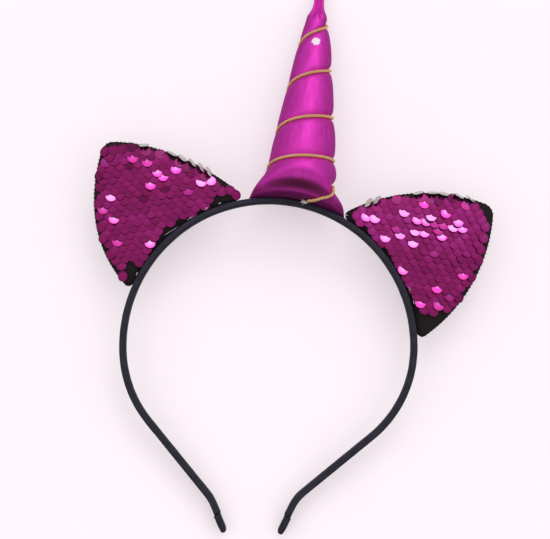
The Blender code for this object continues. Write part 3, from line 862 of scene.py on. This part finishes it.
def cord_mesh():
    """Three plies twisted together along the cord's route, the start splayed and flattened."""
    first = CORD_ROUTE[0][0]
    wound = CORD_ROUTE[-1][0] - first
    frames = [cord_frame(first + wound * i / CORD_SAMPLES) for i in range(CORD_SAMPLES + 1)]
    lengths = [0.0]
    for (a, _), (b, _) in zip(frames, frames[1:]):
        lengths.append(lengths[-1] + (b - a).length)
    total = lengths[-1]
    steps = int(total / PLY_STEP)
    spots = np.linspace(0.0, total, steps).tolist()
    table = np.array([[*a, *n] for a, n in frames])
    centres = np.array([np.interp(spots, lengths, table[:, k]) for k in range(6)]).T
    tubes = []
    grooves = []
    for ply in range(CORD_PLIES):
        rings = []
        for i, spot in enumerate(spots):
            out = Vector(centres[i, 3:]).normalized()
            ahead = Vector(centres[min(i + 1, steps - 1), :3]) - Vector(centres[max(i - 1, 0), :3])
            ahead.normalize()
            side = ahead.cross(out).normalized()
            out = side.cross(ahead)
            splay = 1 + SPLAY * (1 - smooth_step(spot / (3 * MM)))
            angle = 2 * pi * (spot / PLY_PITCH + ply / CORD_PLIES)
            away = side * cos(angle) * splay + out * sin(angle)
            spine = Vector(centres[i, :3]) + PLY_OFFSET * away
            taper = smooth_step(min(spot, total - spot) / (0.8 * MM))
            radius = PLY_RADIUS * (0.35 + 0.65 * taper)
            rings.append(circle(spine, side * radius, out * radius, PLY_AROUND))
            # Painted shade for each point: none where the ply faces out, most in the groove between
            # plies
            for k in range(PLY_AROUND):
                outside = cos(2 * pi * k / PLY_AROUND - angle)
                grooves.append(smooth_step((0.75 - outside) / 0.9))
        tubes.append(rings)
    data = tube_mesh("gold_cord_twist", tubes)
    store(data, "groove", grooves)
    return data


def fray_mesh():
    """Loose gold threads at the cord's start, bent down onto the band."""
    rng = random.Random(FRAY_SEED)
    start, out = cord_frame(CORD_ROUTE[0][0])
    tubes = []
    for _ in range(FRAY_THREADS):
        heading = Vector((-1.0, rng.uniform(-0.75, 0.35), rng.uniform(-0.25, 0.1)))
        reach = rng.uniform(1.6, 3.6) * MM
        bend = Vector((rng.uniform(-0.2, 0.2), rng.uniform(-0.5, 0.3), rng.uniform(-0.3, 0.0)))
        rings = []
        for i in range(9):
            t = i / 8
            spine = start + heading * reach * (t - 0.1) + bend * reach * t * t
            spine += out * 0.25 * MM * (1 - t)
            radius = FRAY_RADIUS * (1 - 0.5 * t)
            rings.append(circle(spine, UP * radius, Vector((0.0, radius, 0.0)), THREAD_AROUND))
        tubes.append(rings)
    return tube_mesh("gold_cord_fray", tubes)


# Ears


def circles_meet(centre_a, radius_a, centre_b, radius_b):
    line = centre_b - centre_a
    along = (line.length_squared + radius_a**2 - radius_b**2) / (2 * line.length)
    out = sqrt(radius_a**2 - along**2)
    unit = line.normalized()
    return centre_a + unit * along + Vector((-unit.y, unit.x)) * out


def arc(centre, radius, start, end, steps):
    points = []
    for i in range(steps + 1):
        angle = start + (end - start) * i / steps
        points.append(centre + radius * Vector((cos(angle), sin(angle))))
    return points


def angle_from(centre, point):
    return atan2(point.y - centre.y, point.x - centre.x)


def ear_outline(ear_side):
    """The ear's outline, clockwise from the middle of the edge that sits on the band."""
    _, sharp_tip, bow = EARS[ear_side]
    middle = Vector((0.0, 0.0))
    shoulder = Vector((EAR_HALF_WIDTH, EAR_SHOULDER))
    side = circles_meet(shoulder, EAR_SIDE_RADIUS, Vector((0.0, sharp_tip)), EAR_SIDE_RADIUS)
    inner = EAR_SIDE_RADIUS - EAR_CORNER_RADIUS
    corner = circles_meet(side, inner, middle, SEAT_RADIUS + EAR_CORNER_RADIUS)
    rise = sqrt((EAR_SIDE_RADIUS - EAR_TIP_RADIUS) ** 2 - side.x**2)
    tip_centre = Vector((0.0, side.y + rise))
    base_end = angle_from(middle, corner)
    side_start = angle_from(side, corner)
    side_end = angle_from(side, tip_centre)
    half = arc(middle, SEAT_RADIUS, pi / 2, base_end, 22)
    half += arc(corner, EAR_CORNER_RADIUS, base_end - pi, side_start, 7)[1:]
    half += arc(side, EAR_SIDE_RADIUS, side_start, side_end, 34)[1:]
    half += arc(tip_centre, EAR_TIP_RADIUS, side_end, pi / 2, 8)[1:]
    outline = half + [Vector((-p.x, p.y)) for p in half[1:-1]][::-1]
    for point in outline:
        rise = (point.y - EAR_SHOULDER) / (sharp_tip - EAR_SHOULDER)
        point.x += bow * sin(pi * max(0.0, rise))
    return outline


def share_at(outline, point):
    """How far out a point lies: 0 at the ear's middle, 1 on its outline."""
    ray = point - EAR_CENTRE
    best = 0.0
    for a, b in neighbours(outline):
        edge = b - a
        cross = ray.x * edge.y - ray.y * edge.x
        if abs(cross) < 1e-12:
            continue
        start = a - EAR_CENTRE
        t = (start.x * edge.y - start.y * edge.x) / cross
        s = (start.x * ray.y - start.y * ray.x) / cross
        if t > 0 and 0 <= s <= 1:
            best = max(best, 1 / t)
    return best


def edge_distance(outline, point):
    """Distance from a point to the nearest piece of the outline."""
    nearest = 1.0
    for a, b in neighbours(outline):
        edge = b - a
        t = min(1.0, max(0.0, (point - a).dot(edge) / edge.length_squared))
        nearest = min(nearest, (point - a - edge * t).length)
    return nearest


def front_height(share):
    return EAR_EDGE + EAR_CROWN * max(0.0, 1 - min(1.0, share) ** 7) ** 0.55


def back_height(share):
    return EAR_EDGE - EAR_BACK * max(0.0, 1 - min(1.0, share) ** 4) ** 0.6


def ear_mesh(side):
    """The padded ear: domed back, rolled seam round its edge, crowned front."""
    outline = ear_outline(side)
    shares = [sin(pi / 2 * (i + 1) / EAR_RINGS) for i in range(EAR_RINGS)]
    rows = [(share, back_height(share)) for share in shares[:-1]]
    for step in range(SEAM_STEPS + 1):
        turn = pi * (step / SEAM_STEPS - 0.5)
        rows.append((1.0 + SEAM_SWELL * cos(turn), EAR_EDGE + SEAM_RADIUS * sin(turn)))
    rows += [(share, front_height(share)) for share in shares[-2::-1]]
    rings = []
    for share, height in rows:
        ring = []
        for point in outline:
            place = EAR_CENTRE + (point - EAR_CENTRE) * share
            spot = Vector((*place, height))
            lump = EAR_LUMP * uneven(spot, EAR_LUMP_SIZE, 2.0) * (1 - share**6)
            ring.append(spot + UP * lump)
        rings.append(ring)
    return tube_mesh(f"ear_{side}_padding", [rings])


def stitch_mesh(side):
    """Overlock stitches: short slanted loops of thread round the ear's seam."""
    outline = ear_outline(side)
    tubes = []
    walked = 0.0
    for a, b in neighbours(outline):
        walked += (b - a).length
        if walked < STITCH_PITCH:
            continue
        walked = 0.0
        along = (b - a).normalized().to_3d()
        out = (a - EAR_CENTRE).normalized().to_3d()
        rings = []
        for i in range(9):
            turn = pi * (i / 8 - 0.5) * 1.25
            spine = a.to_3d() + out * 0.55 * MM * cos(turn)
            spine += UP * (EAR_EDGE + 0.8 * MM * sin(turn)) + along * 0.5 * MM * sin(turn)
            rise = out * cos(turn) + UP * sin(turn)
            ring = circle(spine, along * STITCH_RADIUS, rise * STITCH_RADIUS, THREAD_AROUND)
            rings.append(ring)
        tubes.append(rings)
    return tube_mesh(f"ear_{side}_stitches", tubes)


def sequin_shape():
    """One sequin lying flat, hole towards +Y: points, faces, and which faces are its reverse."""
    mesh = bmesh.new()
    loops = []
    circles = ((SEQUIN_SIDES, SEQUIN_RADIUS, 0.0), (HOLE_SIDES, HOLE_RADIUS, HOLE_PLACE))
    for count, radius, height in circles:
        loop = []
        for i in range(count):
            angle = 2 * pi * i / count
            spot = (radius * cos(angle), height + radius * sin(angle), 0.0)
            loop.append(mesh.verts.new(spot))
        loops.append(loop)
    edges = [mesh.edges.new(pair) for loop in loops for pair in neighbours(loop)]
    bmesh.ops.triangle_fill(mesh, edges=edges, use_beauty=True)
    bmesh.ops.recalc_face_normals(mesh, faces=mesh.faces)
    mesh.faces.ensure_lookup_table()
    if mesh.faces[0].normal.z < 0:
        bmesh.ops.reverse_faces(mesh, faces=mesh.faces)
    mesh.verts.index_update()
    front = [tuple(vert.index for vert in face.verts) for face in mesh.faces]
    points = [Vector(vert.co) for vert in mesh.verts]
    rims = [[vert.index for vert in loop] for loop in loops]
    mesh.free()
    count = len(points)
    points += [p - UP * SEQUIN_THICKNESS for p in points]
    faces = list(front)
    reverse = [0] * len(front)
    for face in front:
        faces.append(tuple(i + count for i in reversed(face)))
        reverse.append(1)
    for rim, turn in zip(rims, (1, -1)):
        for a, b in neighbours(rim):
            wall = (a, a + count, b + count, b)
            faces.append(wall if turn > 0 else wall[::-1])
            reverse.append(0)
    return points, faces, reverse


def sequin_places(side):
    """Each sequin of one ear: its matrix in the ear's frame, and its depth of colour with painted
    light.
    """
    rng = random.Random(SEQUIN_SEEDS[side])
    outline = ear_outline(side)
    angle = EARS[side][0]
    to_band = Matrix.Rotation(-radians(angle), 2)
    row_turn = Matrix.Rotation(radians(ROW_ANGLES[side] + angle), 2)
    right = (row_turn @ Vector((1.0, 0.0))).to_3d()
    up = (row_turn @ Vector((0.0, 1.0))).to_3d()
    level = [row_turn.inverted() @ p for p in outline]
    top = max(p.y for p in level)
    rows = int((top - min(p.y for p in level)) / ROW_PITCH) + 1
    columns = int(max(abs(p.x) for p in level) / SEQUIN_PITCH) + 2
    picked = {}
    for kind, spots in PICKED[side].items():
        for spot in spots:
            there = row_turn.inverted() @ (to_band.inverted() @ (Vector(spot) * MM))
            picked.setdefault(nearest_place(there, top), kind)
    glare = glare_facing(side)
    found = []
    for row in range(rows):
        for column in range(-columns, columns + 1):
            flat = lattice((row, column), top)
            jitter = Vector((rng.uniform(-STRAY, STRAY), rng.uniform(-STRAY, STRAY))) * MM
            draws = [mean + spread * rng.gauss(0.0, 1.0) for mean, spread in SEQUIN_TURNS]
            lift, roll, spin = (radians(draw) for draw in draws)
            tone_and_painted_light = rng.uniform(*PLAIN_TINT)
            middle = row_turn @ (flat + jitter)
            in_plane = to_band @ middle
            if share_at(outline, middle) > 1 or edge_distance(outline, middle) < SEQUIN_MARGIN:
                continue
            if near_bare(in_plane, side):
                continue
            facing = field_normal(outline, middle, to_band)
            facing = (facing + up * tan(lift)).normalized()
            facing = (facing + right * tan(roll)).normalized()
            # Picked sequins turn to the key light; their paler film is a painted highlight
            kind = picked.get((row, column))
            if kind == "bright":
                wobble = (rng.uniform(-BRIGHT_WOBBLE, BRIGHT_WOBBLE) for _ in range(2))
                facing = (glare + Vector((*wobble, 0.0))).normalized()
                tone_and_painted_light = rng.uniform(*BRIGHT_PAINTED_HIGHLIGHT)
            elif kind == "soft":
                facing = facing.lerp(glare, SOFT_TURN).normalized()
                tone_and_painted_light = rng.uniform(*SOFT_PAINTED_HIGHLIGHT)
            elif kind == "mild":
                facing = facing.lerp(glare, MILD_TURN).normalized()
                tone_and_painted_light = MILD_PAINTED_HIGHLIGHT
            elif kind == "dull":
                tone_and_painted_light = DULL_TINT
            else:
                # Painted light on the upper half, and painted shade where a sequin would mirror the
                # key light
                tone_and_painted_light += UPPER_PAINTED_LIGHT[side] * smooth_step((in_plane.y - UPPER_HALF) / (10 * MM))
                near = smooth_step((facing.dot(glare) - GLARE_START) / GLARE_RANGE)
                tone_and_painted_light *= 1 - GLARE_PAINTED_SHADE * near
            found.append((sewn_down(outline, middle, facing, right, up, spin), tone_and_painted_light))
    return found + turned_up(side, outline, rng)


def glare_facing(side):
    """Which way a sequin faces, in its ear's frame, to mirror the key light to the camera."""
    half_way = (camera_direction() + key_direction()).normalized()
    in_band = PLANE.to_3x3().inverted() @ half_way
    return Matrix.Rotation(radians(EARS[side][0]), 3, "Z") @ in_band


def sewn_down(outline, middle, facing, right, up, spin):
    """Places a sequin with its hole close to the padding and its middle clear of it."""
    hole = middle + up.xy * HOLE_PLACE
    hole_height = front_height(share_at(outline, hole)) + HOLE_STANDOFF
    x_axis = (right - facing * right.dot(facing)).normalized()
    x_axis = Matrix.Rotation(spin, 3, facing) @ x_axis
    y_axis = facing.cross(x_axis)
    lowest = front_height(share_at(outline, middle)) + MIDDLE_STANDOFF
    height = max(hole_height - HOLE_PLACE * y_axis.z, lowest)
    return matrix_of(x_axis, y_axis, facing, Vector((*middle, height)))


def lattice(key, top):
    """The middle of a sequin by row and column, in the rows' own frame."""
    row, column = key
    return Vector(((column + 0.5 * (row % 2)) * SEQUIN_PITCH, top - 1.0 * MM - row * ROW_PITCH))


def nearest_place(spot, top):
    """Row and column of the sequin nearest to a spot in the rows' own frame."""
    keys = [(row, column) for row in range(40) for column in range(-26, 27)]
    return min(keys, key=lambda key: (lattice(key, top) - spot).length)


def near_bare(place, side):
    return any((place - Vector((x, y)) * MM).length < r * MM for x, y, r in BARE[side])


def field_normal(outline, middle, to_band):
    """Which way the padded front faces at a place."""
    step = 0.6 * MM
    slopes = []
    for axis in (Vector((step, 0.0)), Vector((0.0, step))):
        ahead = front_height(share_at(outline, middle + axis))
        behind = front_height(share_at(outline, middle - axis))
        slopes.append((ahead - behind) / (2 * step))
    lean = to_band @ Vector((-slopes[0], -slopes[1]))
    lean = to_band.inverted() @ Vector((LEAN_ACROSS * lean.x, LEAN_UP * lean.y))
    return Vector((*lean, 1.0)).normalized()


def turned_up(side, outline, rng):
    """Sequins along the upper edge that have flipped over it, reverse outwards."""
    back_to_ear = Matrix.Rotation(radians(EARS[side][0]), 2)
    found = []
    for start, end, count in TURNED_UP[side]:
        for i in range(count):
            share = (i + rng.uniform(0.4, 0.6)) / count
            spot = back_to_ear @ (Vector(start).lerp(Vector(end), share) * MM)
            edge = EAR_CENTRE + (spot - EAR_CENTRE) / share_at(outline, spot)
            out = (edge - EAR_CENTRE).normalized().to_3d()
            lean = radians(rng.uniform(*TURNED_UP_LEAN))
            facing = -(UP * sin(lean) + out * cos(lean))
            along = out.cross(UP).normalized()
            rise = facing.cross(along)
            place = Vector((*edge, EAR_EDGE)) + out * 0.2 * MM
            place += UP * rng.uniform(*TURNED_UP_HEIGHT) * MM
            found.append((matrix_of(along, rise, facing, place), REVERSED_TINT))
    return found


def matrix_of(x_axis, y_axis, z_axis, place):
    turn = Matrix((x_axis, y_axis, z_axis)).transposed().to_4x4()
    return Matrix.Translation(place) @ turn


def field_mesh(side):
    """All the sequins of one ear, each a thin holed disc."""
    shape, shape_faces, reverse = sequin_shape()
    points = []
    faces = []
    backs = []
    tones_and_painted_light = []
    for matrix, tone_and_painted_light in sequin_places(side):
        base = len(points)
        points += [matrix @ p for p in shape]
        faces += [tuple(base + i for i in face) for face in shape_faces]
        backs += reverse
        # Painted shade: darker at the rim, lighter at the hole, and none on the back points, so the
        # edge walls darken towards the back
        tones_and_painted_light += [RIM_PAINTED_SHADE * tone_and_painted_light] * SEQUIN_SIDES
        tones_and_painted_light += [HOLE_PAINTED_LIGHT * tone_and_painted_light] * HOLE_SIDES
        tones_and_painted_light += [0.0] * (SEQUIN_SIDES + HOLE_SIDES)
    data = bpy.data.meshes.new(f"ear_{side}_sequin_scales")
    data.from_pydata([tuple(p) for p in points], [], faces)
    data.polygons.foreach_set("material_index", backs)
    store(data, "tone_and_painted_light", tones_and_painted_light)
    return data


# Glue


def glue_mesh():
    """Strings and drops of dried glue along the joints, at the band's front edge."""
    rng = random.Random(GLUE_SEED)
    tubes = []
    for x, y, height, length, direction, width in GLUE:
        angle = radians(direction)
        along = Vector((cos(angle), sin(angle), 0.0))
        side = UP.cross(along)
        seed = rng.uniform(0, 50)
        rings = []
        for i in range(12):
            t = i / 11
            swell = sqrt(max(0.02, 1 - (2 * t - 1) ** 2))
            spine = Vector((x, y, height)) + along * length * (t - 0.5)
            spine += side * 0.35 * noise.noise(Vector((seed, 2.5 * t, 0.0)))
            size = width * swell * (0.8 + 0.5 * noise.noise(Vector((seed, 4 * t, 3.0)))) * MM
            rings.append(circle(spine * MM, side * size, UP * size * 0.6, 8))
        tubes.append(rings)
    return tube_mesh("glue_traces", tubes)


def cord_glue_mesh():
    """The pale blob that holds the cord's start to the horn's foot."""
    start = cord_frame(CORD_ROUTE[0][0])[0]
    mesh = bmesh.new()
    bmesh.ops.create_icosphere(mesh, subdivisions=3, radius=1.0)
    for vert in mesh.verts:
        swell = 1 + 0.35 * noise.noise(vert.co * 1.7 + Vector((3.0, 1.0, 9.0)))
        size = Vector((1.7, 0.7, 0.55)) * MM * swell
        vert.co = Vector((vert.co.x * size.x, vert.co.y * size.y, vert.co.z * size.z))
        vert.co += start + Vector((-1.3, -0.4, -0.1)) * MM
    data = bpy.data.meshes.new("cord_glue")
    mesh.to_mesh(data)
    mesh.free()
    data.shade_smooth()
    return data


# Camera, light and floor


def camera_direction():
    return Vector((0.0, -sin(CAMERA_TILT), cos(CAMERA_TILT)))


def key_direction():
    return Vector((sin(KEY_RIGHT), sin(KEY_TILT), cos(KEY_TILT))).normalized()


def add_camera():
    data = bpy.data.cameras.new("camera")
    data.sensor_fit = "HORIZONTAL"
    data.sensor_width = SENSOR_WIDTH
    data.lens = CAMERA_LENS
    data.clip_start = 0.01
    camera = new_object("camera", data)
    place = CAMERA_TARGET + camera_direction() * CAMERA_DISTANCE
    turn = Matrix.Rotation(CAMERA_TILT, 4, "X") @ Matrix.Rotation(CAMERA_ROLL, 4, "Z")
    camera.matrix_world = Matrix.Translation(place) @ turn
    bpy.context.scene.camera = camera


def add_sun(name, direction, strength, spread, glossy=True):
    data = bpy.data.lights.new(name, "SUN")
    data.energy = strength
    data.angle = radians(spread)
    sun = new_object(name, data)
    sun.rotation_euler = direction.to_track_quat("Z", "Y").to_euler()
    sun.visible_glossy = glossy


def add_world():
    """A pale sky, darker past the band's ends and near the horizon."""
    sky = Look(bpy.data.worlds.new("studio"))
    bpy.context.scene.world = sky.owner
    split = sky.add("ShaderNodeSeparateXYZ")
    sky.link(sky.add("ShaderNodeTexCoord").outputs["Generated"], split.inputs["Vector"])
    smooth = {"interpolation_type": "SMOOTHSTEP"}
    strength = sky.range_of(split.outputs["Y"], *SKY_STRENGTH, *SKY_Y, **smooth)
    share = sky.range_of(split.outputs["Z"], *SKY_SHARE, *SKY_Z)
    background = sky.nodes["Background"]
    background.inputs["Color"].default_value = SKY_COLOUR
    sky.link(sky.combined("MULTIPLY", strength, share), background.inputs["Strength"])


def add_floor():
    mesh = bmesh.new()
    bmesh.ops.create_grid(mesh, x_segments=8, y_segments=8, size=FLOOR_HALF_SIZE)
    data = bpy.data.meshes.new("floor")
    mesh.to_mesh(data)
    mesh.free()
    floor = new_object("floor", data)
    floor.visible_glossy = False
    paper = new_look("floor_paper", (0.5, 0.475, 0.49), 0.9)
    paper.settle({"Emission Color": FLOOR_GLOW, "Emission Strength": 1.0})
    paper.feed("Base Color", paper.ramp(paper.mottled(40.0), *FLOOR_COLOURS))
    data.materials.append(paper.owner)


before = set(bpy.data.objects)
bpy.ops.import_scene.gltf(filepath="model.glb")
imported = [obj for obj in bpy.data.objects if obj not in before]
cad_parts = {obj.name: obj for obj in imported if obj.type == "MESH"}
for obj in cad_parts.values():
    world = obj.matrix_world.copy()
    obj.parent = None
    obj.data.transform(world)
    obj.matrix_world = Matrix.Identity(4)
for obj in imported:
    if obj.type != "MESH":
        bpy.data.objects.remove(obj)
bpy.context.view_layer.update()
bpy.context.scene.view_settings.view_transform = "Standard"
PLANE = find_plane(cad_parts["band"])
RUBBED_SPOT = PLANE @ horn_surface(RUBBED_RISE, RUBBED_TURN)

ribbon = satin("navy_ribbon", (0.014, 0.013, 0.023))
ribbon_end = satin("navy_ribbon_end", (0.013, 0.012, 0.021))
gold = gold_thread()
black = knit()
film = sequin_film()
silver = sequin_reverse()
glue = dried_glue()

add_piece("band_ribbon", band_mesh(), [ribbon], PLANE, ["band"])
for side in ("left", "right"):
    wrap = wrap_mesh(side)
    replaced = [f"end_wrap_{side}"]
    add_piece(f"ribbon_end_{side}", wrap, [ribbon_end], PLANE, replaced)
horn = add_piece("horn_lame", horn_mesh(), [lame()], PLANE, ["horn"])
add_piece("gold_cord_twist", cord_mesh(), [gold], PLANE, ["horn_cord"])
add_piece("gold_cord_fray", fray_mesh(), [gold], PLANE, ())
add_piece("cord_glue", cord_glue_mesh(), [glue], PLANE)
add_piece("glue_traces", glue_mesh(), [glue], PLANE)
for side in ("left", "right"):
    ear_place = PLANE @ Matrix.Rotation(-radians(EARS[side][0]), 4, "Z")
    padding = ear_mesh(side)
    name = f"ear_{side}"
    ear = add_piece(f"{name}_padding", padding, [black], ear_place, [name])
    add_piece(f"{name}_stitches", stitch_mesh(side), [black], ear_place, ())
    replaced = [f"{name}_sequins"]
    scales = field_mesh(side)
    add_piece(f"{name}_sequin_scales", scales, [film, silver], ear_place, replaced)

add_camera()
add_sun("key", key_direction(), KEY_STRENGTH, KEY_SPREAD)
add_sun("fill", UP, FILL_STRENGTH, FILL_SPREAD, glossy=False)
add_world()
add_floor()
